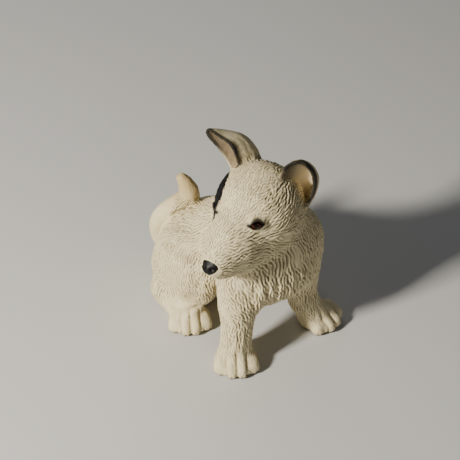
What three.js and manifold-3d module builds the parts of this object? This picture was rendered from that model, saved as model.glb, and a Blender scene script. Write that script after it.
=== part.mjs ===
// A bull terrier puppy that sits with its front legs apart and looks over its right shoulder. One ear stands
// up and the other is folded back. It is one resin casting, with two glass eyes set in their sockets.
// Millimetres, +Z up. The puppy faces -Y, its left side is +X, and it rests on the plane Z = 0.

import * as THREE from 'three';
import { mergeVertices } from 'three/addons/utils/BufferGeometryUtils.js';
import Module from 'manifold-3d';

const wasm = await Module();
wasm.setup();

const at = (x, y, z) => new THREE.Vector3(x, y, z);
const degrees = THREE.MathUtils.degToRad;

// Driving sizes
const CELL = 5; // spacing of the grid that the body's skin is meshed on
const BODY_BLEND = 9; // how far neighbouring muscles run into each other
const THIGH_BLEND = 5;
const HEAD_BLEND = 5;
const NECK_BLEND = 2.5;
const EYE = at(4.4, 2.6, 2.6); // half the eye's width, depth and height
const EYE_GAP = 0.3;
const TOE_PITCH = 6.4;
const TOE_RADIUS = 4.5;
const TOE_REACH = 10.2; // from the wrist to the middle of a toe's tip
const EAR_WALL = 2.2;
const LOCKS = 7;
const LOCK_WIDTH = 5.6;

// Places. The head's frame has its origin in the middle of the skull, and the nose towards -Y in it.
const HEAD_CENTRE = at(-10, -34, 100);
const HEAD_TURN = -73; // to the puppy's right
const NOSE = at(0, -43, -16);
const EYE_PLACE = at(12.2, -20.5, 4);
const EYE_TURN = 38; // away from the muzzle's line
const PAWS = [
  { place: at(-33, -44, 0), turn: -34 },
  { place: at(29, -45.7, 0), turn: 12 },
  { place: at(-33, 1, 0), turn: -32 },
  { place: at(33.4, 1, 0), turn: 30 },
];
const MIDDLE = at(-3.55, 0, 0); // middle of the whole figure's outline, which becomes the origin

function frameAt(place, turn, pitch = 0, roll = 0) {
  const angles = new THREE.Euler(degrees(pitch), degrees(roll), degrees(turn), 'ZXY');
  const rotation = new THREE.Quaternion().setFromEuler(angles);
  return new THREE.Matrix4().compose(place, rotation, at(1, 1, 1));
}

const headFrame = frameAt(HEAD_CENTRE, HEAD_TURN);

// Forms: each one gives a point's distance from its surface, negative inside.

function egg(centre, radii, turn = 0, pitch = 0, roll = 0) {
  const inverse = frameAt(centre, turn, pitch, roll).invert();
  const q = at(0, 0, 0);
  return (p) => {
    q.copy(p).applyMatrix4(inverse);
    const reach = Math.hypot(q.x / radii.x, q.y / radii.y, q.z / radii.z);
    const slope = Math.hypot(q.x / radii.x ** 2, q.y / radii.y ** 2, q.z / radii.z ** 2);
    return slope > 1e-6 ? (reach * (reach - 1)) / slope : -Math.min(radii.x, radii.y, radii.z);
  };
}

function limb(from, to, fromRadius, toRadius) {
  const along = at(0, 0, 0).subVectors(to, from);
  const q = at(0, 0, 0);
  return (p) => {
    q.subVectors(p, from);
    const t = THREE.MathUtils.clamp(q.dot(along) / along.lengthSq(), 0, 1);
    return q.addScaledVector(along, -t).length() - THREE.MathUtils.lerp(fromRadius, toRadius, t);
  };
}

// A limb of several stretches, from a list of [point, radius].
function chain(...joints) {
  const stretches = joints.slice(1).map(([to, radius], i) => limb(joints[i][0], to, joints[i][1], radius));
  return blend(3, ...stretches);
}

function blend(width, ...forms) {
  const join = (a, b) => {
    const near = Math.max(width - Math.abs(a - b), 0) / width;
    return Math.min(a, b) - (near * near * width) / 4;
  };
  return (p) => forms.map((form) => form(p)).reduce(join);
}

function bothSides(form) {
  const q = at(0, 0, 0);
  return (p) => form(q.set(Math.abs(p.x), p.y, p.z));
}

function placed(frame, form) {
  const inverse = frame.clone().invert();
  const q = at(0, 0, 0);
  return (p) => form(q.copy(p).applyMatrix4(inverse));
}

// Body

const rump = blend(
  BODY_BLEND,
  egg(at(-1, 22, 30), at(34, 29, 31.5)),
  bothSides(egg(at(19, 34, 17), at(15, 15, 18.5))),
);
const trunk = egg(at(0, -2, 49), at(28, 36, 28.5), 0, -34);
const chest = egg(at(0.5, -33, 60), at(32, 24, 33));
const neck = chain([at(0, -24, 74), 25], [at(-2, -28, 94), 22]);
const thigh = bothSides(egg(at(27.5, 9, 35), at(12.5, 26, 24), 0, -8));
const hindFoot = bothSides(limb(at(31, 23, 12), at(33, 2, 8.5), 12.5, 9.5));
const rightLeg = chain(
  [at(-19, -32, 62), 16],
  [at(-26.5, -38, 40), 11.5],
  [at(-31, -42, 20), 8.9],
  [at(-32, -43, 8), 8.6],
);
const leftLeg = chain(
  [at(20, -32, 62), 15],
  [at(18, -39, 40), 11],
  [at(19.5, -42, 20), 8.9],
  [at(26, -45, 8), 8.6],
);
const pad = egg(at(0, 2, 4), at(TOE_PITCH * 1.6, 9, 7)); // a paw without its toes, in the paw's own frame
const [rightPad, leftPad, ...hindPads] = PAWS.map(({ place, turn }) => placed(frameAt(place, turn), pad));
const torso = blend(
  THIGH_BLEND,
  blend(BODY_BLEND, rump, trunk, chest, neck, rightLeg, leftLeg, rightPad, leftPad),
  blend(THIGH_BLEND, thigh, hindFoot, ...hindPads),
);

// Head, in its own frame

const cranium = egg(at(0, 2, -3.4), at(25, 24, 26));
const cheeks = bothSides(egg(at(7.2, 2, -14), at(14.5, 20, 16)));
const bridge = chain([at(0, -8, -2), 19.8], [at(0, -23, -7.6), 12.5], [at(0, -35, -14.4), 9.8]);
const muzzle = chain([at(0, -10, -8), 18.6], [at(0, -23, -12), 13.8], [at(0, -36, -16.4), 9]);
const jaw = chain([at(0, -8, -16), 15.9], [at(0, -22, -17.6), 14.6], [at(0, -34, -19), 7.6]);
const head = placed(headFrame, blend(HEAD_BLEND, cranium, cheeks, bridge, muzzle, jaw));

const flesh = blend(NECK_BLEND, torso, head);

// The skin of a form: one point for each grid cell that the surface crosses, joined across the cells' shared
// edges, and then drawn onto the surface.
function skin(form, low, high, cell) {
  const [nx, ny, nz] = high.clone().sub(low).divideScalar(cell).ceil().addScalar(1).toArray();
  const index = (i, j, k) => (k * ny + j) * nx + i;
  const node = (i, j, k) => at(i, j, k).multiplyScalar(cell).add(low);
  const value = new Float64Array(nx * ny * nz);
  for (let k = 0; k < nz; k++)
    for (let j = 0; j < ny; j++)
      for (let i = 0; i < nx; i++) value[index(i, j, k)] = form(node(i, j, k));

  const axes = [0, 1, 2];
  const moved = (ijk, axis, by) => ijk.map((n, a) => (a === axis ? n + by : n));
  const crossing = (from, to) => {
    const [a, b] = [value[index(...from)], value[index(...to)]];
    return a < 0 === b < 0 ? null : node(...from).lerp(node(...to), a / (a - b));
  };

  const points = [];
  const pointOf = new Map();
  for (let k = 0; k < nz - 1; k++)
    for (let j = 0; j < ny - 1; j++)
      for (let i = 0; i < nx - 1; i++) {
        const found = axes.flatMap((axis) => {
          const [u, w] = [(axis + 1) % 3, (axis + 2) % 3];
          const starts = [0, 1].flatMap((a) => [0, 1].map((b) => moved(moved([i, j, k], u, a), w, b)));
          return starts.map((start) => crossing(start, moved(start, axis, 1))).filter(Boolean);
        });
        if (!found.length) continue;
        pointOf.set(index(i, j, k), points.length);
        points.push(found.reduce((sum, p) => sum.add(p)).divideScalar(found.length));
      }
  for (let pass = 0; pass < 3; pass++) points.forEach((p) => settle(form, p, cell / 2));

  const faces = [];
  for (let k = 1; k < nz - 1; k++)
    for (let j = 1; j < ny - 1; j++)
      for (let i = 1; i < nx - 1; i++)
        for (const axis of axes) {
          const inside = value[index(i, j, k)] < 0;
          if (inside === value[index(...moved([i, j, k], axis, 1))] < 0) continue;
          const [u, w] = [(axis + 1) % 3, (axis + 2) % 3];
          const around = [[0, 0], [-1, 0], [-1, -1], [0, -1]].map(([a, b]) =>
            pointOf.get(index(...moved(moved([i, j, k], u, a), w, b))),
          );
          const [p, q, r, s] = inside ? around : around.reverse();
          const shorter = points[p].distanceTo(points[r]) < points[q].distanceTo(points[s]);
          faces.push(...(shorter ? [p, q, r, p, r, s] : [q, r, s, q, s, p]));
        }
  const geometry = new THREE.BufferGeometry().setFromPoints(points);
  geometry.setIndex(faces);
  return geometry;
}

// Moves a point along the form's slope towards the surface, by no more than the given distance.
function settle(form, p, most) {
  const step = 0.05;
  const slope = at(0, 0, 0);
  for (const axis of ['x', 'y', 'z']) {
    const [ahead, behind] = [p.clone(), p.clone()];
    ahead[axis] += step;
    behind[axis] -= step;
    slope[axis] = (form(ahead) - form(behind)) / (2 * step);
  }
  p.addScaledVector(slope, THREE.MathUtils.clamp(-form(p) / Math.max(slope.lengthSq(), 0.3), -most, most));
}

// Solids: a closed geometry becomes a solid that can be joined and cut.
function solid(geometry) {
  geometry.deleteAttribute('normal');
  geometry.deleteAttribute('uv');
  const merged = mergeVertices(geometry, 1e-4);
  return new wasm.Manifold(
    new wasm.Mesh({
      numProp: 3,
      vertProperties: new Float32Array(merged.attributes.position.array),
      triVerts: new Uint32Array(merged.index.array),
    }),
  );
}

function ball(frame, radii, around = 12, rings = 8) {
  const geometry = new THREE.SphereGeometry(1, around, rings).scale(radii.x, radii.y, radii.z);
  return solid(geometry.applyMatrix4(frame));
}

// A paw of four toes that fan out from the wrist, facing -Y. Its grid has a row of points on the crest of each
// toe and one in each groove.
function pawForm() {
  const toes = [-1.5, -0.5, 0.5, 1.5].map((n) => {
    const [reach, rise] = Math.abs(n) < 1 ? [TOE_REACH, 2.3] : [TOE_REACH - 3.5, 1.7];
    const knuckle = at(n * TOE_PITCH * 0.85, -1, TOE_RADIUS * rise);
    return limb(knuckle, at(n * TOE_PITCH * 0.95, -reach, TOE_RADIUS * 0.85), TOE_RADIUS * 0.9, TOE_RADIUS);
  });
  return blend(1.6, pad, ...toes);
}

function pawSkin() {
  const cell = TOE_PITCH / 2;
  const half = 6.5 * cell;
  return skin(pawForm(), at(-half, -half, -half), at(half, half, half), cell);
}

// A closed solid through rings of points, one ring for each station, with flat ends.
function loft(rings) {
  const size = rings[0].length;
  const points = rings.flat();
  const faces = [];
  for (let i = 0; i < rings.length - 1; i++)
    for (let j = 0; j < size; j++) {
      const next = (j + 1) % size;
      const [a, b] = [i * size, (i + 1) * size];
      faces.push(a + j, a + next, b + next, a + j, b + next, b + j);
    }
  for (const end of [0, rings.length - 1]) {
    const middle = points.length;
    points.push(rings[end].reduce((sum, p) => sum.add(p), at(0, 0, 0)).divideScalar(size));
    for (let j = 0; j < size; j++) {
      const [p, q] = [end * size + j, end * size + ((j + 1) % size)];
      faces.push(...(end ? [middle, p, q] : [middle, q, p]));
    }
  }
  const geometry = new THREE.BufferGeometry().setFromPoints(points);
  geometry.setIndex(faces);
  return solid(geometry);
}

// A tail or lock: round sections along a curve, with the radius given at each of the curve's points.
function sweep(points, radii, stations, sides) {
  const curve = new THREE.CatmullRomCurve3(points);
  const { normals, binormals } = curve.computeFrenetFrames(stations);
  const rings = normals.map((normal, i) => {
    const t = curve.getUtoTmapping(i / stations) * (radii.length - 1);
    const k = Math.min(Math.floor(t), radii.length - 2);
    const radius = THREE.MathUtils.lerp(radii[k], radii[k + 1], t - k);
    const centre = curve.getPoint(t / (radii.length - 1));
    return Array.from({ length: sides }, (_, j) => {
      const angle = (2 * Math.PI * j) / sides;
      return centre
        .clone()
        .addScaledVector(normal, radius * Math.cos(angle))
        .addScaledVector(binormals[i], radius * Math.sin(angle));
    });
  });
  return loft(rings);
}

// An ear: a wall of even thickness between its right and left edges, bowed out to the back line. All three
// lines run from root to tip in the head's frame.
function ear(right, left, back, stations = 9, across = 9) {
  const lines = [right, left, back].map((points) => new THREE.CatmullRomCurve3(points));
  const rings = Array.from({ length: stations + 1 }, (_, i) => {
    const [near, far, deep] = lines.map((line) => line.getPoint((i / stations) * 0.97));
    const half = near.clone().sub(far).divideScalar(2);
    const hollow = near.clone().add(far).divideScalar(2).sub(deep);
    const [width, depth] = [half.length(), Math.max(hollow.length(), 0.5)];
    const wall = Math.min(EAR_WALL, width);
    const point = (angle, face) => {
      const normal = half.clone().multiplyScalar(Math.sin(angle) / width ** 2);
      normal.addScaledVector(hollow, -Math.cos(angle) / depth ** 2).normalize();
      return deep
        .clone()
        .addScaledVector(half, Math.sin(angle))
        .addScaledVector(hollow, 1 - Math.cos(angle))
        .addScaledVector(normal, (face * wall) / 2)
        .applyMatrix4(headFrame);
    };
    const angles = Array.from({ length: across }, (_, j) => Math.PI * (j / (across - 1) - 0.5));
    return [...angles.map((angle) => point(angle, 1)), ...angles.reverse().map((angle) => point(angle, -1))];
  });
  return loft(rings);
}

const erectEar = () =>
  ear(
    [at(-22, 9, 0), at(-24, 7, 11), at(-28, 3, 22.5), at(-32, -1, 31), at(-33, -2, 35.5)],
    [at(-14, 2, 12), at(-16.5, 2, 22), at(-20, 2.6, 28), at(-26, 0.5, 32), at(-32.6, -1.8, 36)],
    [at(-9, 18, 10), at(-15, 19, 19), at(-22, 15.5, 27), at(-29, 6, 32.5), at(-33, -1.4, 36)],
  );

const foldedEar = () =>
  ear(
    [at(10, 4, 10), at(11.8, 2, 20), at(13.4, 4.5, 25.4), at(16, 6, 28), at(19, 8, 29)],
    [at(21, 11, -6), at(24.4, 12.3, 4), at(26, 13.5, 13.5), at(24.8, 12.6, 22), at(21.5, 9.6, 27.8)],
    [at(13, 19, -2), at(18, 22, 9), at(20, 21, 18), at(20, 15.5, 25.5), at(20, 9.2, 29.2)],
  );

const tail = () =>
  sweep(
    [
      at(-2, 38, 10),
      at(-12, 52, 20),
      at(-17, 53, 34),
      at(-17, 46, 48),
      at(-12, 38, 57),
      at(-8, 33, 64),
      at(-9, 34, 73),
      at(-12, 37, 80),
    ],
    [8, 7.6, 6.8, 7, 7.6, 7.6, 5.6, 2.6],
    16,
    10,
  );

// Locks of the chest's fringe: they follow the front of the chest, swing from side to side, and end in points.
function fringe() {
  const front = (x, z) => {
    const p = at(x, -90, z);
    while (torso(p) > 0.3) p.y += Math.max(torso(p) * 0.6, 0.1);
    return p;
  };
  return Array.from({ length: LOCKS }, (_, i) => {
    const across = (i - LOCKS / 2) * LOCK_WIDTH - 2;
    const bottom = 33 + (i % 2) * 4 + Math.abs(i - 3);
    const points = [68, 57, 46, bottom].map((z, k) => front(across + (k % 2) * LOCK_WIDTH * 0.3, z));
    points.forEach((p, k) => (p.y += [0.9, 0.45, 0.3, 0][k] * LOCK_WIDTH));
    return sweep(points, [0.5, 0.7, 0.75, 0.15].map((r) => r * LOCK_WIDTH), 6, 8);
  });
}

const sum = (solids) => solids.reduce((all, next) => all.add(next));
const cut = (whole, tools) => tools.reduce((left, tool) => left.subtract(tool), whole);

const body = solid(skin(flesh, at(-76, -92, -10), at(62, 74, 140), CELL));
const paws = PAWS.map(({ place, turn }) => solid(pawSkin().applyMatrix4(frameAt(place, turn))));
const nose = ball(headFrame.clone().multiply(frameAt(NOSE, 0)), at(6, 5, 5));

// An eye looks out sideways and forward. Its socket is the same ball, larger by the gap.
function eye(side, gap = 0) {
  const frame = frameAt(at(side * EYE_PLACE.x, EYE_PLACE.y, EYE_PLACE.z), side * EYE_TURN);
  return ball(headFrame.clone().multiply(frame), EYE.clone().addScalar(gap), 14, 8);
}

const ground = solid(new THREE.BoxGeometry(300, 300, 40).translate(0, 0, -20));
const casting = cut(
  sum([body, tail(), ...paws, ...fringe(), nose, erectEar(), foldedEar()]),
  [ground, eye(-1, EYE_GAP), eye(1, EYE_GAP)],
);

function mesh(name, shape, material) {
  const { numProp, vertProperties, triVerts } = shape.getMesh();
  const geometry = new THREE.BufferGeometry();
  geometry.setAttribute('position', new THREE.BufferAttribute(vertProperties, numProp));
  geometry.setIndex(new THREE.BufferAttribute(triVerts, 1));
  geometry.computeVertexNormals();
  const made = new THREE.Mesh(geometry, material);
  made.name = name;
  return made;
}

const resin = new THREE.MeshStandardMaterial({ color: 0xe3dcc6, roughness: 0.6, metalness: 0 });
const glass = new THREE.MeshStandardMaterial({ color: 0x4a2412, roughness: 0.08, metalness: 0 });

const figurine = new THREE.Group();
figurine.position.copy(MIDDLE).negate();
figurine.add(mesh('dog_casting', casting, resin));
figurine.add(mesh('left_eye', eye(1), glass));
figurine.add(mesh('right_eye', eye(-1), glass.clone()));

export default figurine;
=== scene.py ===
"""A seated bull terrier puppy figurine: a hollow resin casting, painted by hand, with two domed glass eyes.

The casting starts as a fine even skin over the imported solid. Its facets are smoothed away, then the eyelids,
nose, mouth, toes and coat are carved into it by moving its points. Places are in millimetres in the
sculptor's frame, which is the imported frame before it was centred. Meshes are in metres.
"""

import math

import bpy
import numpy as np
from mathutils import Matrix, Vector, kdtree


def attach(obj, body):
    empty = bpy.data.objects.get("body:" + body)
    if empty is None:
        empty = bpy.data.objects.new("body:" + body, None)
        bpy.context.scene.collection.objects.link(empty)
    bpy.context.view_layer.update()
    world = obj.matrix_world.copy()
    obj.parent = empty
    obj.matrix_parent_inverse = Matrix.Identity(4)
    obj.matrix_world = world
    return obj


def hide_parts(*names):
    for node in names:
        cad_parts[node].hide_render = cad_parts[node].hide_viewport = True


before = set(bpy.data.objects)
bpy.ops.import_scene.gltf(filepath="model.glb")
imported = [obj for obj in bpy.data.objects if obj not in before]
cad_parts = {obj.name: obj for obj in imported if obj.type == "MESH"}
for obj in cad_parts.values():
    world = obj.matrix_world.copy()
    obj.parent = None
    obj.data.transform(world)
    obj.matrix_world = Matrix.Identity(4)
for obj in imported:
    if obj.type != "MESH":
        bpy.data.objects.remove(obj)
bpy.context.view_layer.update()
bpy.ops.object.select_all(action="DESELECT")

MM = 0.001
RANDOM = np.random.default_rng(7)

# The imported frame's origin in the sculptor's frame, and the head's own frame, with the nose towards -Y.
MIDDLE = np.array((-3.55, 0, 0))
HEAD_CENTRE = (-10, -34, 100)
HEAD_TURN = -73
NOSE = np.array((0, -43, -16))
EYE_PLACE = (12.2, -20.5, 4)
EYE_TURN = 38
EYE_RADII = np.array((4.4, 2.6, 2.6))
EYE_GAP = 0.3

# Each paw's place and its turn about Z, and the distance between toes.
PAWS = [((-33, -44, 0), -34), ((29, -45.7, 0), 12), ((-33, 1, 0), -32), ((33.4, 1, 0), 30)]
TOE_PITCH = 6.4

# The skin's grid, and the triangles that are left when it is thinned.
SKIN_STEP = 0.43
MOST_TRIANGLES = 196_000

# How many hairs a tuft of the coat is wide.
TUFT_HAIRS = 2.6


# Frames and small maths


def frame_at(place, turn):
    return Matrix.Translation(place) @ Matrix.Rotation(math.radians(turn), 4, "Z")


HEAD = frame_at(HEAD_CENTRE, HEAD_TURN)


def eye_frame(side):
    return HEAD @ frame_at((side * EYE_PLACE[0], EYE_PLACE[1], EYE_PLACE[2]), side * EYE_TURN)


def moved(points, matrix):
    array = np.array(matrix)
    return points @ array[:3, :3].T + array[:3, 3]


def turned(directions, matrix):
    return directions @ np.array(matrix)[:3, :3].T


def unit(vectors):
    return vectors / np.maximum(np.linalg.norm(vectors, axis=-1, keepdims=True), 1e-9)


def ramp(value, start, end):
    """Rises smoothly from 0 at start to 1 at end, or falls where end is less than start."""
    t = np.clip((value - start) / (end - start), 0, 1)
    return t * t * (3 - 2 * t)


def hump(distance, width):
    """1 at no distance, falling off smoothly to both sides."""
    return np.exp(-((distance / width) ** 2))


def mixed(start, end, share):
    """Values or directions part of the way from start to end."""
    if np.ndim(start) > 1:
        share = share[:, None]
    return start * (1 - share) + end * share


def flow_line(points, count):
    """Places along a smooth curve through the given points."""
    points = np.array(points, float)
    ends = np.vstack((2 * points[0] - points[1], points, 2 * points[-1] - points[-2]))
    t = np.linspace(0, len(points) - 1, count)
    k = np.minimum(t.astype(int), len(points) - 2)
    t = (t - k)[:, None]
    a, b, c, d = (ends[k + i] for i in range(4))
    bends = (2 * a - 5 * b + 4 * c - d) * t**2 + (3 * b - a - 3 * c + d) * t**3
    return 0.5 * (2 * b + (c - a) * t + bends)


def distance_to_line(points, line):
    """Each point's distance from a run of places, and where along the run it is, from 0 to 1."""
    best = np.full(len(points), 1e9)
    along = np.zeros(len(points))
    for i, (start, end) in enumerate(zip(line[:-1], line[1:])):
        step = end - start
        t = np.clip((points - start) @ step / (step @ step), 0, 1)
        gap = np.linalg.norm(points - start - t[:, None] * step, axis=1)
        nearer = gap < best
        best[nearer] = gap[nearer]
        along[nearer] = (i + t[nearer]) / (len(line) - 1)
    return best, along


# Meshes as arrays of points in the sculptor's frame


def points_of(mesh):
    points = np.empty(len(mesh.vertices) * 3)
    mesh.vertices.foreach_get("co", points)
    return points.reshape(-1, 3) / MM + MIDDLE


def normals_of(mesh):
    normals = np.empty(len(mesh.vertices) * 3)
    mesh.vertices.foreach_get("normal", normals)
    return normals.reshape(-1, 3)


def edges_of(mesh):
    edges = np.empty(len(mesh.edges) * 2, np.int32)
    mesh.edges.foreach_get("vertices", edges)
    return edges.reshape(-1, 2)


def set_points(mesh, points):
    mesh.vertices.foreach_set("co", ((points - MIDDLE) * MM).ravel())
    mesh.update()


def set_attribute(mesh, name, values):
    attribute = mesh.attributes.new(name, "FLOAT", "POINT")
    attribute.data.foreach_set("value", values.astype(np.float32))


def choose(piece):
    bpy.ops.object.select_all(action="DESELECT")
    piece.select_set(True)
    bpy.context.view_layer.objects.active = piece


def finish_modifier(piece, modifier):
    choose(piece)
    bpy.ops.object.modifier_apply(modifier=modifier.name)


# The casting's skin


def even_skin(node, name):
    """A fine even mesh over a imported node."""
    piece = bpy.data.objects.new(name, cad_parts[node].data.copy())
    bpy.context.collection.objects.link(piece)
    choose(piece)
    bpy.ops.object.mode_set(mode="EDIT")
    bpy.ops.mesh.select_all(action="SELECT")
    bpy.ops.mesh.remove_doubles(threshold=1e-6)
    bpy.ops.object.mode_set(mode="OBJECT")
    remesh = piece.modifiers.new("skin", "REMESH")
    remesh.mode = "VOXEL"
    remesh.voxel_size = SKIN_STEP * MM
    finish_modifier(piece, remesh)
    return piece


def relaxed(points, edges, strength, passes):
    """Points drawn towards the middle of their neighbours, each by its own strength."""
    count = len(points)
    edges = edges[strength[edges].max(axis=1) > 0]
    ends = np.concatenate((edges[:, 0], edges[:, 1]))
    others = np.concatenate((edges[:, 1], edges[:, 0]))
    valence = np.maximum(np.bincount(ends, minlength=count), 1)
    share = (strength / 2)[:, None]
    for _ in range(passes):
        sums = np.stack([np.bincount(ends, points[others, axis], count) for axis in range(3)], 1)
        points = points + share * (sums / valence[:, None] - points)
    return points


def without_facets(points, edges, strength, passes):
    """Smooths the facets away. What the smoothing took off the broad forms is put back."""
    smooth = relaxed(points, edges, strength, passes)
    return smooth + relaxed(points - smooth, edges, strength, passes)


# Places on the figure


def in_head(points):
    return moved(points, HEAD.inverted())


def head_share(points):
    """1 on the head and 0 on the body, with the border in the crease under the jaw."""
    skull = np.array(((0, 2, -6), (0, -38, -17)))
    neck = np.array(((0, -33, 55), (0, -24, 74), (-2, -28, 92)))
    to_head, along = distance_to_line(in_head(points), skull)
    to_neck, _ = distance_to_line(points, neck)
    return ramp((to_neck - 26) - (to_head - 25.5 + 16.5 * along), -1.5, 1.5)


# Each ear's right edge, left edge and back, from root to tip, in the head's frame, as in the solid.
EARS = {
    "erect": (
        [(-22, 9, 0), (-24, 7, 11), (-28, 3, 22.5), (-32, -1, 31), (-33, -2, 35.5)],
        [(-14, 2, 12), (-16.5, 2, 22), (-20, 2.6, 28), (-26, 0.5, 32), (-32.6, -1.8, 36)],
        [(-9, 18, 10), (-15, 19, 19), (-22, 15.5, 27), (-29, 6, 32.5), (-33, -1.4, 36)],
    ),
    "folded": (
        [(10, 4, 10), (11.8, 2, 20), (13.4, 4.5, 25.4), (16, 6, 28), (19, 8, 29)],
        [(21, 11, -6), (24.4, 12.3, 4), (26, 13.5, 13.5), (24.8, 12.6, 22), (21.5, 9.6, 27.8)],
        [(13, 19, -2), (18, 22, 9), (20, 21, 18), (20, 15.5, 25.5), (20, 9.2, 29.2)],
    ),
}
# The tail's middle line, from root to tip.
TAIL = [
    (-2, 38, 10),
    (-12, 52, 20),
    (-17, 53, 34),
    (-17, 46, 48),
    (-12, 38, 57),
    (-8, 33, 64),
    (-9, 34, 73),
    (-12, 37, 80),
]


# Folds of the skin on the right: their lines from end to end.
THIGH_FOLD = [
    (-35, 24, 48),
    (-36.4, 17, 50),
    (-36, 9, 52.4),
    (-35, 2, 52.7),
    (-34.6, -4, 50.7),
    (-34.3, -8, 47),
]
GROIN_FOLD = [
    (-34.3, -7, 48),
    (-34.9, -10.3, 42),
    (-36, -9.7, 35),
    (-36.6, -5.3, 26),
    (-37.6, 0.7, 17.5),
]
HOCK_FOLD = [
    (-43, 10, 12),
    (-42.3, 5.7, 12),
    (-40.6, -0.2, 13.5),
    (-36, -4, 15),
    (-30.6, -6.7, 17.2),
    (-28, -10, 20),
]
TAIL_FOLD = [
    (-27.6, 34.6, 45),
    (-23.6, 33.7, 50),
    (-20, 34.6, 52),
    (-17.6, 33.6, 55.4),
    (-15, 30.2, 57.7),
    (-12, 26.6, 60.8),
]
# Each fold's line, depth and width, and which sides have it.
FOLDS = [
    (TAIL_FOLD, 1.6, 1.8, (1,)),
    (THIGH_FOLD, 0.9, 3.0, (1, -1)),
    (GROIN_FOLD, 0.8, 3.0, (1, -1)),
    (HOCK_FOLD, 1.2, 1.7, (1, -1)),
]


class EarPlaces:
    """Where points lie on an ear: nearness to it, how far up it and across it they are, how far they
    stand inside its bowl or outside it, how far they are from its two edges, how wide it is there, and
    the way from its root to its tip."""

    ROWS = 40
    COLUMNS = 37
    REACH = 32
    FAR = 99.0

    def __init__(self, points, ear):
        # The ear as a bowl: a half round of places at each row from one edge over the back to the other.
        right, left, back = (moved(flow_line(line, self.ROWS), HEAD) for line in EARS[ear])
        angles = np.radians(np.linspace(-90, 90, self.COLUMNS))
        sine, cosine = np.sin(angles)[:, None], np.cos(angles)[:, None]
        half = (right - left)[:, None] / 2
        hollow = ((right + left) / 2 - back)[:, None]
        sheet = back[:, None] + half * sine + hollow * (1 - cosine)
        upward = unit(np.gradient(sheet, axis=0)).reshape(-1, 3)
        inward = hollow * cosine / (hollow**2).sum(2, keepdims=True)
        inward = unit(inward - half * sine / (half**2).sum(2, keepdims=True)).reshape(-1, 3)
        sheet = sheet.reshape(-1, 3)
        width = np.linalg.norm(right - left, axis=1)

        count = len(points)
        self.gap = np.full(count, self.FAR)
        self.to_right = np.full(count, self.FAR)
        self.to_left = np.full(count, self.FAR)
        self.station = np.zeros(count)
        self.across = np.zeros(count)
        self.inside = np.zeros(count)
        self.upward = np.zeros((count, 3))
        self.width = np.ones(count)
        chosen = np.flatnonzero(np.linalg.norm(points - sheet.mean(axis=0), axis=1) < self.REACH)
        self.to_right[chosen], _ = distance_to_line(points[chosen], right[::3])
        self.to_left[chosen], _ = distance_to_line(points[chosen], left[::3])
        for part in np.array_split(chosen, max(1, len(chosen) // 3000)):
            gaps = ((points[part, None] - sheet[None]) ** 2).sum(2)
            nearest = gaps.argmin(axis=1)
            row, column = np.divmod(nearest, self.COLUMNS)
            self.gap[part] = np.sqrt(gaps[np.arange(len(part)), nearest])
            self.station[part] = row / (self.ROWS - 1)
            self.across[part] = 2 * column / (self.COLUMNS - 1) - 1
            self.width[part] = width[row]
            self.inside[part] = ((points[part] - sheet[nearest]) * inward[nearest]).sum(1)
            self.upward[part] = upward[nearest]
        self.near = ramp(self.gap, 2.6, 1.7)


def toe_places(points):
    """Nearness to a groove between toes, nearness to a paw, and the short cuts round the toes' ends."""
    groove = np.zeros(len(points))
    paw = np.zeros(len(points))
    cuts = np.zeros(len(points))
    for place, turn in PAWS:
        x, y, z = moved(points, frame_at(place, turn).inverted()).T
        on_paw = ramp(np.hypot(x / 16, (y + 4) / 15), 1.1, 0.9) * ramp(z, 17, 12)
        paw = np.maximum(paw, on_paw)
        pitch = TOE_PITCH * (0.84 + 0.12 * ramp(y, 0, -10))
        for n in (-1, 0, 1):
            groove = np.maximum(groove, hump(x - n * pitch, 0.75) * ramp(y, 2, -4) * on_paw)
        around = np.arctan2(x, -(y + 1)) * 13
        row = np.cos(2 * math.pi * around / 1.9 + 1.5 * np.sin(around * 1.3))
        cuts = np.maximum(cuts, ramp(row, 0.2, -0.9) * ramp(y, -3, -7) * ramp(z, 5.5, 3) * on_paw)
    return groove, paw, cuts


def tail_places(points):
    """Nearness to the tail where it stands clear of the rump, and the way along it to its tip."""
    line = flow_line(TAIL, 16)
    gap, along = distance_to_line(points, line)
    way = unit(np.gradient(line, axis=0))[np.rint(along * 15).astype(int)]
    clear = np.maximum(ramp(points[:, 1], 34, 38), ramp(points[:, 2], 65, 68))
    return ramp(gap, 9.5, 7.5) * clear, way


def fold_places(points):
    """Nearness to a fold of the skin, and how deep the folds are."""
    near = np.zeros(len(points))
    deep = np.zeros(len(points))
    for line, depth, width, sides in FOLDS:
        for side in sides:
            gap, along = distance_to_line(points * (side, 1, 1), flow_line(line, 14))
            fold = hump(gap, width) * ramp(along, 0, 0.15) * ramp(along, 1, 0.85)
            near = np.maximum(near, fold)
            deep += depth * fold
    return near, deep


def bare_places(points, local):
    """1 where no hair is carved: on the nose, round the eyes and underneath."""
    nose = ramp(np.linalg.norm((local - NOSE) / (6.6, 6, 5.6), axis=1), 1.12, 0.98)
    bare = np.maximum(nose, ramp(points[:, 2], 1.0, 0.2))
    for side in (-1, 1):
        eye = moved(points, eye_frame(side).inverted()) / (EYE_RADII + 0.8)
        bare = np.maximum(bare, ramp(np.linalg.norm(eye, axis=1), 1.55, 1.1))
    return bare


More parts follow.
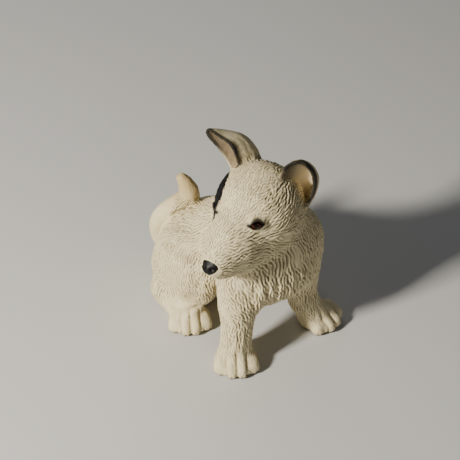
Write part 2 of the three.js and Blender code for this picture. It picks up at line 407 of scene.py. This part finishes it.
class Places:
    """Points on the casting, with what the carver and the painter need to know about each of them."""

    def __init__(self, points, normals):
        self.move(points, normals)
        self.head = head_share(points)
        self.ears = {ear: EarPlaces(points, ear) for ear in EARS}
        self.groove, self.paw, self.cuts = toe_places(points)
        self.tail, self.tail_way = tail_places(points)
        self.folds, self.fold_depth = fold_places(points)
        self.bare = bare_places(points, self.local)

    def move(self, points, normals):
        self.points = points
        self.normals = normals
        self.local = in_head(points)

    def carve(self, mesh, cut):
        """Moves the surface inwards by a depth at each point, but not below the floor."""
        points = self.points - self.normals * cut[:, None]
        points[:, 2] = np.maximum(points[:, 2], 0)
        set_points(mesh, points)
        self.move(points, normals_of(mesh))


# Carving: the eyelids are drawn over the eyes, and each of the other tools gives a depth to cut


def lid_opening(outward):
    """The upper and lower edge of the opening between the eyelids, at a distance outward from the nose."""
    v = np.clip(np.abs((outward - 0.4) / 3.95), 0, 1)
    return 2.7 * (1 - v**2.2), -2.15 * (1 - v**2)


def carve_eyelids(points, edges, side):
    """Draws the socket's rim in over the eye, to an almond-shaped opening between two thin lids."""
    matrix = eye_frame(side)
    local = moved(points, matrix.inverted())
    socket = EYE_RADII + EYE_GAP
    distance = np.linalg.norm(local / socket, axis=1)
    near = (distance < 2.4) & (local[:, 1] < 5)
    local = local[near]
    distance = distance[near]
    x, z = local[:, 0] / socket[0], local[:, 2] / socket[2]
    reach = np.maximum(np.hypot(x, z), 1e-6)
    x, z = x / reach, z / reach

    # The rim of the solid's opening is found all round the eye. The wall behind it stays where it is.
    sectors = 36
    sector = (np.arctan2(z, x) / (2 * math.pi) * sectors).astype(int) % sectors
    rim = np.full(sectors, 9.0)
    on_rim = np.abs(distance - 1) < 0.06
    np.minimum.at(rim, sector[on_rim], local[on_rim, 1])
    rim[rim > 8] = rim[rim < 8].mean()
    wall = ramp(local[:, 1] - rim[sector], 0.3, 0.9) * ramp(distance, 1.25, 1.1)

    # The almond's edge is found by halving, and the skin round the socket is drawn in as far.
    low, high = np.zeros(len(x)), np.ones(len(x))
    for _ in range(20):
        middle = (low + high) / 2
        upper, lower = lid_opening(side * middle * x * socket[0])
        height = middle * z * socket[2]
        within = (height < upper) & (height > lower)
        low, high = np.where(within, middle, low), np.where(within, high, middle)
    drawn = local.copy()
    pull = (reach - low) * ramp(distance, 2.0, 1.0) * (1 - wall)
    drawn[:, 0] *= (reach - pull) / reach
    drawn[:, 2] *= (reach - pull) / reach

    # The lids lie close over the dome of the eye, and blend softly into the face.
    thick = EYE_RADII + 0.55
    cap = 1 - (drawn[:, 0] / thick[0]) ** 2 - (drawn[:, 2] / thick[2]) ** 2
    lid = np.where(cap > 0, -thick[1] * np.sqrt(np.maximum(cap, 0)), 3 * (1 - cap))
    soft = 1.6
    mix = np.maximum(soft - np.abs(lid - drawn[:, 1]), 0) / soft
    raised = np.minimum(lid, drawn[:, 1]) - mix**2 * soft / 4 * ramp(distance, 1.0, 1.4)
    drawn[:, 1] += (raised - drawn[:, 1]) * (1 - wall) * ramp(distance, 2.3, 1.6)
    result = points.copy()
    result[near] = moved(drawn, matrix)
    stretched = np.zeros(len(points))
    stretched[near] = ramp(distance, 1.03, 1.25) * ramp(distance, 2.3, 2.0) * (1 - wall)
    return relaxed(result, edges, stretched, 40)


def nose_pad(local):
    """1 on the leathery pad, which is rounded, and wider above than below, in the head's frame."""
    x, y, z = (local - NOSE - (0, 0, 1.5)).T
    width = 5.2 - 2.4 * ramp(z, 0.8, -4.2)
    edge = (np.abs(x) / width) ** 2.2 + (np.abs(z) / 3.6) ** 2.2
    return ramp(edge, 1.12, 0.9) * ramp(y, 0.6, -0.2)


def nostrils(local):
    """How deep the nostrils are: round holes in front that run out into slits to the sides."""
    deep = np.zeros(len(local))
    for side in (-1, 1):
        hole = np.linalg.norm((local - NOSE - (side * 2.4, -4.2, 1.7)) / (1.25, 2, 1.0), axis=1)
        slit = np.linalg.norm((local - NOSE - (side * 4.1, -2.4, 1.5)) / (1.8, 2.2, 0.5), axis=1)
        deep += 1.4 * hump(hole, 0.9) + 0.7 * hump(slit, 0.9)
    return deep


def nose_cut(places):
    """The nostrils, a groove below them, and a crease where the coat begins."""
    x, y, z = (places.local - NOSE).T
    front = ramp(y, 2, -1)
    groove = 0.5 * hump(x, 0.45) * ramp(z, 1, -1) * ramp(z, -8, -5) * front
    pad = nose_pad(places.local)
    return nostrils(places.local) + groove + 1.3 * pad * (1 - pad) * front


def line_cut(places):
    """The mouth, the folds, the grooves between and cuts round the toes, and the folded ear's pouch."""
    one_side = places.local * (np.sign(places.local[:, :1]) * (1, 0, 0) + (0, 1, 1))
    lip = [(0, -44, -22.5), (4.5, -41, -22.5), (7.5, -36, -22.5), (10, -29, -23.5), (13, -21, -24.5)]
    gap, along = distance_to_line(one_side, flow_line(lip, 14))
    mouth = 0.5 * hump(gap, 0.6) * ramp(along, 1, 0.75)
    toes = 0.85 * places.groove + 0.4 * places.cuts
    return mouth + places.fold_depth + toes + 0.6 * pouch_ring(places)


def pouch_ring(places):
    """1 round the small pouch at the outer edge of the folded ear."""
    gap = np.linalg.norm(places.local - (23.4, 12.6, 2.9), axis=1) - 2.7
    return hump(gap, 0.75) * places.ears["folded"].near


# The coat


# Combing guides: place, reach, the way the hair lies, spacing of the ridges, and their depth. The head's
# are in its own frame, and are used for both sides of the face.
HEAD_GUIDES = [
    ((0, -40, -6), 7, (0, 0.8, 0.5), 1.5, 0.28),
    ((0, -32, 0), 8, (0, 1, 0.4), 1.5, 0.28),
    ((0, -20, 10), 9, (0, 1, 0.6), 1.4, 0.27),
    ((0, -8, 18), 11, (0, 1, 0.3), 1.4, 0.27),
    ((0, 8, 22), 12, (0, 1, -0.2), 1.7, 0.26),
    ((5, -38, -6), 5, (0.45, 0.8, 0.3), 1.6, 0.3),
    ((9, -32, -3), 6, (0.45, 0.85, 0.1), 1.7, 0.34),
    ((13, -27, -5), 7, (0.4, 0.85, -0.25), 1.8, 0.4),
    ((9, -38, -10), 6, (0.5, 0.8, -0.05), 1.8, 0.42),
    ((13, -30, -11), 7, (0.4, 0.85, -0.3), 1.9, 0.48),
    ((18, -18, -12), 8, (0.3, 0.9, -0.4), 1.9, 0.45),
    ((20, -10, -18), 9, (0.2, 0.95, -0.35), 1.9, 0.42),
    ((9, -39, -17), 6, (0.4, 0.85, -0.2), 1.9, 0.42),
    ((13, -30, -19), 8, (0.3, 0.95, 0.1), 2.0, 0.42),
    ((24, 4, -10), 12, (0, 1, 0), 1.9, 0.38),
    ((12, -20, 10), 7, (0.4, 0.8, 0.5), 1.6, 0.2),
    ((18, -12, 6), 7, (0.3, 0.8, 0.5), 1.7, 0.34),
    ((22, -4, 6), 9, (0.2, 0.7, 0.8), 1.9, 0.42),
    ((19, 3, 13), 8, (0, 0.6, 1), 1.9, 0.42),
    ((12, 20, 5), 14, (0, 0.4, -1), 2.0, 0.3),
    ((5, -20, -32), 14, (0, 1, 0), 2.0, 0.25),
]
BODY_GUIDES = [
    ((0, -2, 88), 16, (0, 1, -1), 1.9, 0.36),
    ((26, -26, 72), 16, (-0.5, 0.6, -1), 1.6, 0.34),
    ((-24, -18, 72), 16, (-0.2, 0.6, -1), 1.7, 0.3),
    ((2, -56, 66), 14, (0.1, 0, -1), 2.2, 0.5),
    ((2, -56, 46), 14, (0, 0, -1), 2.3, 0.62),
    ((22, -48, 46), 12, (0.15, 0, -1), 2.1, 0.52),
    ((-24, -46, 50), 12, (0.45, 0, -1), 2, 0.5),
    ((-38, -38, 42), 9, (0.9, -0.4, -0.5), 1.8, 0.38),
    ((-31, -48, 24), 10, (0.1, 0, -1), 1.8, 0.42),
    ((20, -48, 24), 10, (0.1, 0, -1), 1.8, 0.36),
    ((-30, -4, 60), 15, (-0.1, 0.5, -1), 1.7, 0.44),
    ((-34, 4, 50), 9, (-0.1, -0.3, -1), 1.8, 0.42),
    ((-36, -9, 36), 10, (0, -0.4, -1), 1.8, 0.4),
    ((-40, 12, 34), 12, (0, -0.2, -1), 1.7, 0.42),
    ((-38, 30, 26), 12, (0, 0.2, -1), 1.8, 0.3),
    ((34, 0, 48), 12, (0.1, -0.3, -1), 1.8, 0.34),
    ((40, 10, 34), 12, (0, -0.2, -1), 1.7, 0.34),
    ((36, 28, 30), 14, (0, 0.2, -1), 1.9, 0.26),
    ((0, 22, 64), 20, (0, 1, -0.7), 1.6, 0.36),
    ((0, 50, 30), 20, (0, 0.2, -1), 2.0, 0.22),
    ((-33, 2, 8), 12, (-0.5, -1, -0.3), 1.6, 0.08),
    ((33, 2, 8), 12, (0.5, -1, -0.3), 1.6, 0.08),
    ((-33, -50, 6), 10, (-0.5, -1, -0.4), 1.6, 0.1),
    ((29, -52, 6), 10, (0.2, -1, -0.4), 1.6, 0.1),
    ((0, 0, 20), 18, (0, 1, 0), 2.3, 0.2),
]


def guided(points, guides):
    """Mixes the guides by their nearness to each point: lie of the hair, spacing and depth."""
    total = np.full(len(points), 1e-12)
    lie = np.zeros((len(points), 3))
    spacing = np.zeros(len(points))
    depth = np.zeros(len(points))
    for place, reach, way, gap, deep in guides:
        weight = hump(np.linalg.norm(points - np.array(place), axis=1), reach)
        total += weight
        lie += weight[:, None] * unit(np.array(way, float))
        spacing += weight * gap
        depth += weight * deep
    return unit(lie), np.clip(spacing / total, 1.2, 3.2), depth / total


def combing(places):
    """The lie of the hair on the surface, the ridges' spacing and their depth, at each point."""
    side = np.where(places.local[:, :1] < 0, -1.0, 1.0) * (1, 0, 0) + (0, 1, 1)
    lie, spacing, depth = guided(places.local * side, HEAD_GUIDES)
    lie = turned(lie * side, HEAD)
    body_lie, body_spacing, body_depth = guided(places.points, BODY_GUIDES)
    share = places.head
    lie = mixed(body_lie, lie, share)
    spacing = mixed(body_spacing, spacing, share)
    depth = mixed(body_depth, depth, share)
    lie = mixed(lie, places.tail_way, places.tail)
    depth = mixed(depth, 0.09, places.tail)
    for ear in places.ears.values():
        near = ear.near * ramp(ear.station, 0, 0.25)
        edge = np.minimum(ear.to_left, ear.to_right)
        fine = np.where(ear.inside > 0, 0.03, 0.045) * ramp(edge, 0.6, 2.4) * ramp(ear.station, 0.97, 0.88)
        lie = unit(mixed(lie, ear.upward, near))
        depth = mixed(depth, fine, near)
        spacing = mixed(spacing, 1.4, near)
    lie = unit(lie - places.normals * (lie * places.normals).sum(1, keepdims=True))
    return lie, spacing, depth * (1 - places.bare)


class Coat:
    """Carved hair: wavy packets of ridges, laid along the hair where they were set down. They are short
    dashes where the coat is shallow and long strands where it is deep.

    OVERLAP is how many packets lie over each place, WIDTH how many ridges wide half a packet is."""

    OVERLAP = 8
    WIDTH = 1.9

    def __init__(self, places, area, lie, spacing, depth):
        length = 2.9 + 1.5 * ramp(depth, 0.32, 0.52)
        chance = 1 / spacing**2 / length
        count = int(self.OVERLAP * area / len(chance) * chance.sum() / (math.pi * self.WIDTH))
        chosen = RANDOM.choice(len(chance), count, p=chance / chance.sum())
        self.place = places.points[chosen]
        self.normal = places.normals[chosen]
        self.spacing = spacing[chosen] * RANDOM.uniform(0.88, 1.14, count)
        self.length = length[chosen]
        across = np.cross(self.normal, lie[chosen])
        tilt = (RANDOM.normal(0, math.radians(45), count) / self.length)[:, None]
        self.along = lie[chosen] * np.cos(tilt) + across * np.sin(tilt)
        self.across = np.cross(self.normal, self.along)
        self.phase = RANDOM.uniform(0, 2 * math.pi, count)
        self.wave = RANDOM.uniform(0, 2 * math.pi, count)
        self.cell = (self.length * self.spacing).max()

    def height(self, places):
        """The ridges' height at each point, mostly from -1 in a groove to 1 on a crest."""
        points, normals = places.points, places.normals
        keys = np.floor(points / self.cell).astype(int)
        order = np.lexsort(keys.T)
        borders = np.flatnonzero(np.any(np.diff(keys[order], axis=0), axis=1)) + 1
        boxes = {tuple(keys[group[0]]): group for group in np.split(order, borders)}
        homes = {}
        for i, key in enumerate(np.floor(self.place / self.cell).astype(int)):
            homes.setdefault(tuple(key), []).append(i)
        around = [(i, j, k) for i in (-1, 0, 1) for j in (-1, 0, 1) for k in (-1, 0, 1)]
        total = np.zeros(len(points))
        for key, packets in homes.items():
            near = [boxes[home] for home in (tuple(np.add(key, step)) for step in around) if home in boxes]
            near = np.concatenate(near)
            for part in np.array_split(near, max(1, len(near) * len(packets) // 400_000)):
                away = points[part, None] - self.place[packets]
                gap = self.spacing[packets]
                a = (away * self.along[packets]).sum(2) / gap
                b = (away * self.across[packets]).sum(2) / gap
                facing = np.maximum(normals[part] @ self.normal[packets].T, 0)
                window = np.maximum(1 - (a / self.length[packets]) ** 2 - (b / self.WIDTH) ** 2, 0) ** 2
                bend = 0.2 * np.sin(2 * math.pi * a / 4.0 + self.wave[packets])
                ridge = np.cos(2 * math.pi * (b + bend) + self.phase[packets])
                total[part] += (window * facing * ridge).sum(1)
        # Packets add up at random, so their sum grows with the root of their number.
        return np.tanh(total / math.sqrt(self.OVERLAP / 10) * 0.9)


# Build


def surface_strength(places):
    """How strongly facets are smoothed away at each point: little where the solid's own form is fine."""
    fine = 0.7 * places.paw
    for ear in places.ears.values():
        fine = np.maximum(fine, ear.near)
    for side in (-1, 1):
        local = moved(places.points, eye_frame(side).inverted()) / (EYE_RADII + 2.5)
        fine = np.maximum(fine, ramp(np.linalg.norm(local, axis=1), 1.5, 1.0))
    at_nose = np.linalg.norm(places.local - NOSE, axis=1)
    fine = np.maximum(fine, 0.6 * ramp(at_nose, 9, 6))
    strength = 1 - 0.93 * fine
    strength[places.points[:, 2] < 0.02] = 0
    return strength


def dog_skin():
    """The casting: smoothed, carved, combed, given its paint masks, and thinned."""
    piece = even_skin("dog_casting", "dog_skin")
    mesh = piece.data
    edges = edges_of(mesh)
    points = points_of(mesh)
    places = Places(points, normals_of(mesh))
    points = without_facets(points, edges, surface_strength(places), 60)
    for side in (-1, 1):
        points = carve_eyelids(points, edges, side)
    set_points(mesh, points)
    places.move(points, normals_of(mesh))
    places.carve(mesh, nose_cut(places))
    places.carve(mesh, line_cut(places))

    area = sum(face.area for face in mesh.polygons) / MM**2
    lie, spacing, depth = combing(places)
    hairs = Coat(places, area, lie, spacing, depth)
    tufts = Coat(places, area, lie, TUFT_HAIRS * spacing, depth)
    height = hairs.height(places)
    tuft = 1 - tufts.height(places)
    places.carve(mesh, depth * ((1 - height) * (0.75 + 0.25 * tuft) + 0.35 * tuft))
    broad = relaxed(places.points, edges, np.ones(len(points)), 50)
    hollow = ((broad - places.points) * places.normals).sum(1)
    thin_out(piece, paint_masks(places, height, depth, hollow))
    return piece


def thin_out(piece, masks):
    """Joins small faces where the surface is plain, but none at the borders of colours or at the eyes."""
    mesh = piece.data
    edges = edges_of(mesh)
    points = points_of(mesh)
    kept = np.zeros(len(points), bool)
    for name in ("black", "shade", "gloss"):
        sharp = edges[np.abs(masks[name][edges[:, 0]] - masks[name][edges[:, 1]]) > 0.12]
        kept[sharp.ravel()] = True
    for side in (-1, 1):
        kept |= np.linalg.norm(points - np.array(eye_frame(side).translation), axis=1) < 5.5
    group = piece.vertex_groups.new(name="plain")
    group.add([int(i) for i in np.flatnonzero(~kept)], 1, "REPLACE")
    decimate = piece.modifiers.new("thin", "DECIMATE")
    decimate.ratio = MOST_TRIANGLES / sum(len(face.vertices) - 2 for face in mesh.polygons)
    decimate.vertex_group = group.name
    finish_modifier(piece, decimate)
    piece.vertex_groups.clear()

    mesh = piece.data
    thinned = points_of(mesh)
    thinned[:, 2] = np.maximum(thinned[:, 2], 0)
    set_points(mesh, thinned)
    mesh.polygons.foreach_set("use_smooth", [True] * len(mesh.polygons))
    nearest = nearest_places(thinned, points)
    for name, values in masks.items():
        set_attribute(mesh, name, values[nearest])


def nearest_places(points, among):
    """For each point, which of the others is nearest to it."""
    tree = kdtree.KDTree(len(among))
    for i, point in enumerate(among):
        tree.insert(point, i)
    tree.balance()
    return [tree.find(point)[1] for point in points]


# Paint masks, from 0 to 1


def cover(masks, name, values):
    """Paints more of a mask, where it isn't painted as strongly yet."""
    masks[name] = np.maximum(masks[name], values)


def paint_masks(places, height, depth, hollow):
    """Masks for the painter: brown wash partly used as painted shade, black, pink, a dark brown mostly used as
    painted shade, gloss and tan.
    """
    names = ("wash_and_shade", "black", "pink", "shade", "gloss", "tan")
    masks = {name: np.zeros(len(places.points)) for name in names}
    paint_wash_and_shade(masks, places, height, depth, hollow)
    paint_black(masks, places, height)
    for side in (-1, 1):
        line_eye(masks, places.points, side)
    paint_erect_ear(masks, places.ears["erect"])
    paint_folded_ear(masks, places.ears["folded"])
    # Painted shade: black in the crease round the folded ear's pouch.
    cover(masks, "black", 0.9 * pouch_ring(places))
    cover(masks, "gloss", nose_pad(places.local))
    to_tip = np.linalg.norm(places.points - TAIL[-1], axis=1)
    cover(masks, "tan", 0.7 * ramp(to_tip, 30, 6))
    return masks


def paint_wash_and_shade(masks, places, height, depth, hollow):
    """The wash is wiped off the crests and stays between hairs. The same brown in hollows is partly wash and
    partly painted shade, and in folds, toe grooves and at the lips it is painted shade.
    """
    one_side = places.local * (np.sign(places.local[:, :1]) * (1, 0, 0) + (0, 1, 1))
    to_lips = np.linalg.norm(one_side - (5, -43, -20), axis=1)
    furry = 1 - places.bare
    cover(masks, "wash_and_shade", 0.85 * ramp(height, 0.3, -1) * ramp(depth, 0.02, 0.3) * furry)
    # Painted shade: brown laid into hollows (there partly wash), folds, the toes' grooves and the lips stands
    # for shade.
    cover(masks, "wash_and_shade", 0.6 * ramp(hollow, 0.35, 1.6) * furry)
    cover(masks, "wash_and_shade", 0.35 * places.groove**2 * (1 - places.head) * furry)
    cover(masks, "wash_and_shade", 0.25 * places.folds * furry)
    cover(masks, "wash_and_shade", 0.35 * hump(to_lips, 5) * furry)


def paint_black(masks, places, height):
    """The patch over the right eye, with its edge broken by the hair, the nose, and a dark band round the
    soles at the floor, partly a painted line and partly painted contact shadow.
    """
    patch = np.linalg.norm((places.local - (-21, -10.5, 3)) / (11.5, 16, 14.8), axis=1)
    brow = np.linalg.norm((places.local - (-16, -21.5, 2)) / (6.0, 7.5, 7.5), axis=1)
    edge = 0.03 * height
    cover(masks, "black", ramp(patch + edge, 1.03, 0.97))
    cover(masks, "black", ramp(brow + edge, 1.05, 0.95))
    cover(masks, "black", nose_pad(places.local))
    cover(masks, "black", ramp(nostrils(places.local), 0.1, 0.5))
    # Painted contact shadow, with a painted dark line: a dark band round the soles at the floor.
    cover(masks, "black", 0.85 * ramp(places.points[:, 2], 2.2, 0.6))


def line_eye(masks, points, side):
    """Black edges to the lids, and a dark inner corner."""
    x, y, z = moved(points, eye_frame(side).inverted()).T
    outward = side * x
    near = ramp(np.hypot(x, z), 8, 7) * ramp(y, 3, 1)
    upper, lower = lid_opening(outward)
    off = np.maximum(z - upper, lower - z)
    lined = ramp(off, np.where(z > -0.3, 1.5, 1.0), 0.35) * ramp(np.abs(outward - 0.2), 5.2, 4.4)
    corner = np.hypot((outward + 3.7) / 1.2, z / 0.7)
    cover(masks, "black", 0.95 * lined * near)
    cover(masks, "black", 0.98 * ramp(corner, 1.3, 0.7) * near)
    cover(masks, "shade", 0.85 * hump(corner, 1.9) * near)


def paint_erect_ear(masks, ear):
    """Black rims and tip, pink inside, darker inside towards the tip, a painted shadow of the inner rim on the
    back, partly airbrush, and grey hair up the back.
    """
    inner = ramp(ear.inside, -0.2, 0.6)
    inner_rim = ramp(ear.to_left, 2.3, 1.1) * ramp(ear.station, 0.1, 0.4)
    outer_rim = ramp(ear.to_right, 2.0, 1.0) * ramp(ear.station, 0.2, 0.6)
    tip = ramp(ear.station, 0.84, 0.95)
    for black in (inner_rim, outer_rim, tip):
        cover(masks, "black", 0.95 * ear.near * black)
    # Painted shadow: the inner rim's shadow on the ear's back, with some airbrushed brown in it.
    rim_shadow = ramp(ear.to_left, 6.0, 1.5) * ramp(ear.station, 0, 0.12) * ramp(ear.station, 0.75, 0.4)
    cover(masks, "shade", 0.95 * ear.near * rim_shadow * (1 - 0.6 * inner))
    cover(masks, "shade", 0.3325 * ear.near * ramp(ear.station, 0.35, 0.8) * (1 - inner))
    cover(masks, "shade", 0.35 * ear.near * ramp(ear.station, 0.2, 0.9) * inner)
    cover(masks, "pink", 0.7 * ear.near * inner)


def paint_folded_ear(masks, ear):
    """Black rims, black deep under the fold as painted shade, dark brown painted shade deep in the bowl and on
    the shadowed front rim, and a little pink in it.
    """
    inner = ramp(ear.inside, -0.3, 0.6)
    more = 1.5 * (1 - inner)
    rim = ramp(ear.to_left, 3.0 + more, 1.4 + more) * ramp(ear.station, 0.08, 0.25)
    rim = rim * ramp(ear.to_right - ear.width, 1.6, 0.4)
    front = ramp(ear.to_right, 2.4, 1.0) * ramp(ear.station, 0.25, 0.5)
    front = front * ramp(ear.to_left - ear.width, 1.6, 0.4)
    # Painted shade: black deep under the fold.
    fold = inner * ramp(ear.station, 0.5, 0.72) * ramp(ear.across, -0.5, 0.1)
    for black in (rim, front, fold):
        cover(masks, "black", 0.95 * ear.near * black)
    # Painted shade: dark brown deep in the bowl, under the fold, and along the shadowed front rim.
    root = ramp(ear.across, 0.3, 0.85) * ramp(ear.station, 0.14, 0.28)
    cover(masks, "shade", 0.9 * ear.near * inner * root)
    cover(masks, "shade", 0.45 * ear.near * inner * ramp(ear.station, 0.4, 0.7))
    cover(masks, "shade", 0.6 * ear.near * ramp(ear.to_right, 2.8, 1.8) * ramp(ear.station, 0.05, 0.25))
    cover(masks, "pink", 0.35 * ear.near * inner * ramp(ear.station, 0.02, 0.2))


# Materials


def linear(colour):
    """An sRGB hex colour as linear red, green, blue and alpha."""
    values = [int(colour[i : i + 2], 16) / 255 for i in (0, 2, 4)]
    return [v / 12.92 if v <= 0.04045 else ((v + 0.055) / 1.055) ** 2.4 for v in values] + [1]


def add_node(tree, kind, settings=None, links=None, **properties):
    """Adds a node, with its properties, its sockets' settings, and links from other nodes' sockets."""
    node = tree.nodes.new(kind)
    for name, value in properties.items():
        setattr(node, name, value)
    for name, value in (settings or {}).items():
        node.inputs[name].default_value = value
    for name, socket in (links or {}).items():
        tree.links.new(socket, node.inputs[name])
    return node


def material(name):
    made = bpy.data.materials.new(name)
    made.use_nodes = True
    shader = made.node_tree.nodes["Principled BSDF"]
    return made, made.node_tree, shader


def painted(tree, under, over, share):
    """One coat of paint over another, by a mask."""
    mix = add_node(tree, "ShaderNodeMix", {0: 0.0}, {0: share}, data_type="RGBA")
    for socket, value in ((6, under), (7, over)):
        if isinstance(value, bpy.types.NodeSocket):
            tree.links.new(value, mix.inputs[socket])
        else:
            mix.inputs[socket].default_value = value
    return mix.outputs[2]


def mask(tree, name):
    return add_node(tree, "ShaderNodeAttribute", attribute_name=name).outputs["Fac"]


def painted_polyresin():
    """Cast polyresin, brushed with ivory acrylic. It looks matt and a little uneven in tone. A brown wash,
    wiped off the crests, leaves each hair outlined, and the black is airbrushed, so its edges are soft. The
    same brown in hollows, folds, toe grooves and at the lips, and most of the darker brown, are painted shade."""
    made, tree, shader = material("painted polyresin, wiped wash")
    place = add_node(tree, "ShaderNodeTexCoord").outputs["Object"]
    # A brush of about 9 mm lays the tone down. Real paint grain is finer than the 0.5 mm that can show.
    brush_width, grain_size = 9 * MM, 0.5 * MM
    brush = add_node(tree, "ShaderNodeTexNoise", {"Scale": 1 / brush_width, "Detail": 3.0}, {"Vector": place})
    grain = add_node(tree, "ShaderNodeTexNoise", {"Scale": 1 / grain_size, "Detail": 2.0}, {"Vector": place})
    ivory = painted(tree, linear("E7DAB4"), linear("D3C397"), brush.outputs["Fac"])
    ivory = painted(tree, ivory, linear("AF9462"), mask(tree, "tan"))
    ivory = painted(tree, ivory, linear("C2AE96"), mask(tree, "pink"))
    # The brown wash mask carries painted shade as well: in hollows, folds, toe grooves and at the lips.
    washed_and_shaded = painted(tree, ivory, linear("5C4F3A"), mask(tree, "wash_and_shade"))
    # The darker brown is mostly painted shade, deep in the ears and along their shadowed rims.
    shaded = painted(tree, washed_and_shaded, linear("30261C"), mask(tree, "shade"))
    black = painted(tree, shaded, linear("060505"), mask(tree, "black"))
    tree.links.new(black, shader.inputs["Base Color"])
    shader.inputs["Specular IOR Level"].default_value = 0.25
    gloss = mask(tree, "gloss")
    rough = add_node(tree, "ShaderNodeMapRange", {"To Min": 0.62, "To Max": 0.48}, {"Value": gloss})
    tree.links.new(rough.outputs["Result"], shader.inputs["Roughness"])
    height = {"Height": grain.outputs["Fac"]}
    bump = add_node(tree, "ShaderNodeBump", {"Strength": 0.25, "Distance": 0.05 * MM}, height)
    tree.links.new(bump.outputs["Normal"], shader.inputs["Normal"])
    return made


def eye_glass(side):
    """A domed glass eye, painted behind and polished in front: a black pupil in a brown iris, painted dark in
    the upper part as shade from the lid, with the brown below as painted light gathered by the dome, and a
    small sharp glint."""
    made, tree, shader = material("domed glass eye")
    matrix = eye_frame(side)
    centre = (np.array(matrix.translation) - MIDDLE) * MM
    place = add_node(tree, "ShaderNodeTexCoord").outputs["Object"]
    centred = add_node(tree, "ShaderNodeVectorMath", {1: list(centre)}, {0: place}, operation="SUBTRACT")
    level = add_node(
        tree,
        "ShaderNodeVectorRotate",
        {"Angle": -matrix.to_euler().z},
        {"Vector": centred.outputs["Vector"]},
        rotation_type="Z_AXIS",
    ).outputs["Vector"]
    flat = add_node(tree, "ShaderNodeVectorMath", {1: (1, 0, 1)}, {0: level}, operation="MULTIPLY")
    reach = add_node(tree, "ShaderNodeVectorMath", None, {0: flat.outputs["Vector"]}, operation="LENGTH")
    half_width = EYE_RADII[0] * MM
    size = add_node(tree, "ShaderNodeMapRange", {"From Max": half_width}, {"Value": reach.outputs["Value"]})
    ring = add_node(tree, "ShaderNodeValToRGB", None, {"Fac": size.outputs["Result"]})
    stops = ring.color_ramp.elements
    stops[0].position, stops[0].color = 0.26, linear("040303")
    stops[1].position, stops[1].color = 0.34, linear("4E2612")
    for position, colour in ((0.52, "3C1B0C"), (0.66, "100704")):
        stops.new(position).color = linear(colour)
    # Painted shade and light: the iris is dark above, where the lid shades it, and shows its brown below,
    # where the dome gathers light.
    split = add_node(tree, "ShaderNodeSeparateXYZ", None, {"Vector": level})
    low = add_node(
        tree,
        "ShaderNodeMapRange",
        {"From Min": 1.8 * MM, "From Max": -1.6 * MM},
        {"Value": split.outputs["Z"]},
        interpolation_type="SMOOTHSTEP",
    )
    glass = painted(tree, linear("0B0504"), ring.outputs["Color"], low.outputs["Result"])
    tree.links.new(glass, shader.inputs["Base Color"])
    shader.inputs["Roughness"].default_value = 0.08
    shader.inputs["Specular IOR Level"].default_value = 0.15
    return made


def eye_ball(name, side):
    bpy.ops.mesh.primitive_uv_sphere_add(segments=48, ring_count=24, radius=1)
    piece = bpy.context.active_object
    piece.name = name
    place = Matrix.Translation(Vector(-MIDDLE * MM)) @ Matrix.Scale(MM, 4) @ eye_frame(side)
    piece.data.transform(place @ Matrix.Diagonal((*EYE_RADII, 1)))
    bpy.ops.object.shade_smooth()
    piece.data.materials.append(eye_glass(side))
    return piece


# Stage


def camera_at(azimuth, elevation, distance, focal, target):
    """Aims the camera from a direction and distance, with its focal length in millimetres."""
    around, up = math.radians(azimuth), math.radians(elevation)
    back = Vector((math.sin(around) * math.cos(up), -math.cos(around) * math.cos(up), math.sin(up)))
    data = bpy.data.cameras.new("camera")
    data.lens = focal
    data.sensor_width = 36
    camera = bpy.data.objects.new("camera", data)
    bpy.context.collection.objects.link(camera)
    camera.location = Vector(target) + back * distance
    camera.rotation_euler = back.to_track_quat("Z", "Y").to_euler()
    bpy.context.scene.camera = camera


def soft_light(name, place, size, power, tint, aim):
    data = bpy.data.lights.new(name, "AREA")
    data.size = size
    data.energy = power
    data.color = tint
    light = bpy.data.objects.new(name, data)
    bpy.context.collection.objects.link(light)
    light.location = place
    light.rotation_euler = (Vector(place) - Vector(aim)).to_track_quat("Z", "Y").to_euler()


def stage():
    """A pale paper floor, dim even surroundings, a warm low key light, and faint front and back lights."""
    bpy.ops.mesh.primitive_plane_add(size=3)
    floor = bpy.context.active_object
    floor.name = "floor"
    made, _, shader = material("pale studio paper")
    shader.inputs["Base Color"].default_value = linear("C9C8C4")
    shader.inputs["Roughness"].default_value = 0.9
    floor.data.materials.append(made)
    world = bpy.data.worlds.new("studio")
    world.use_nodes = True
    surroundings = world.node_tree.nodes["Background"]
    surroundings.inputs["Color"].default_value = linear("DDE3EC")
    surroundings.inputs["Strength"].default_value = 0.085
    bpy.context.scene.world = world
    aim = (0, 0, 0.06)
    soft_light("key", (-0.98, -0.01, 0.62), 0.14, 25, (1, 0.955, 0.86), aim)
    soft_light("front", (-0.35, -0.95, 0.42), 0.12, 0.5, (1, 1, 1), aim)
    soft_light("back", (0.5, 1.0, 0.5), 0.8, 2.5, (1, 1, 1), aim)


camera_at(azimuth=-38, elevation=38, distance=0.647, focal=86.1, target=(0.00182, 0.00135, 0.05546))
stage()
skin = dog_skin()
skin.data.materials.clear()
skin.data.materials.append(painted_polyresin())
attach(skin, "root")
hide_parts("dog_casting")
for side, node in ((1, "left_eye"), (-1, "right_eye")):
    eye = eye_ball(node + "_glass", side)
    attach(eye, "root")
    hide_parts(node)
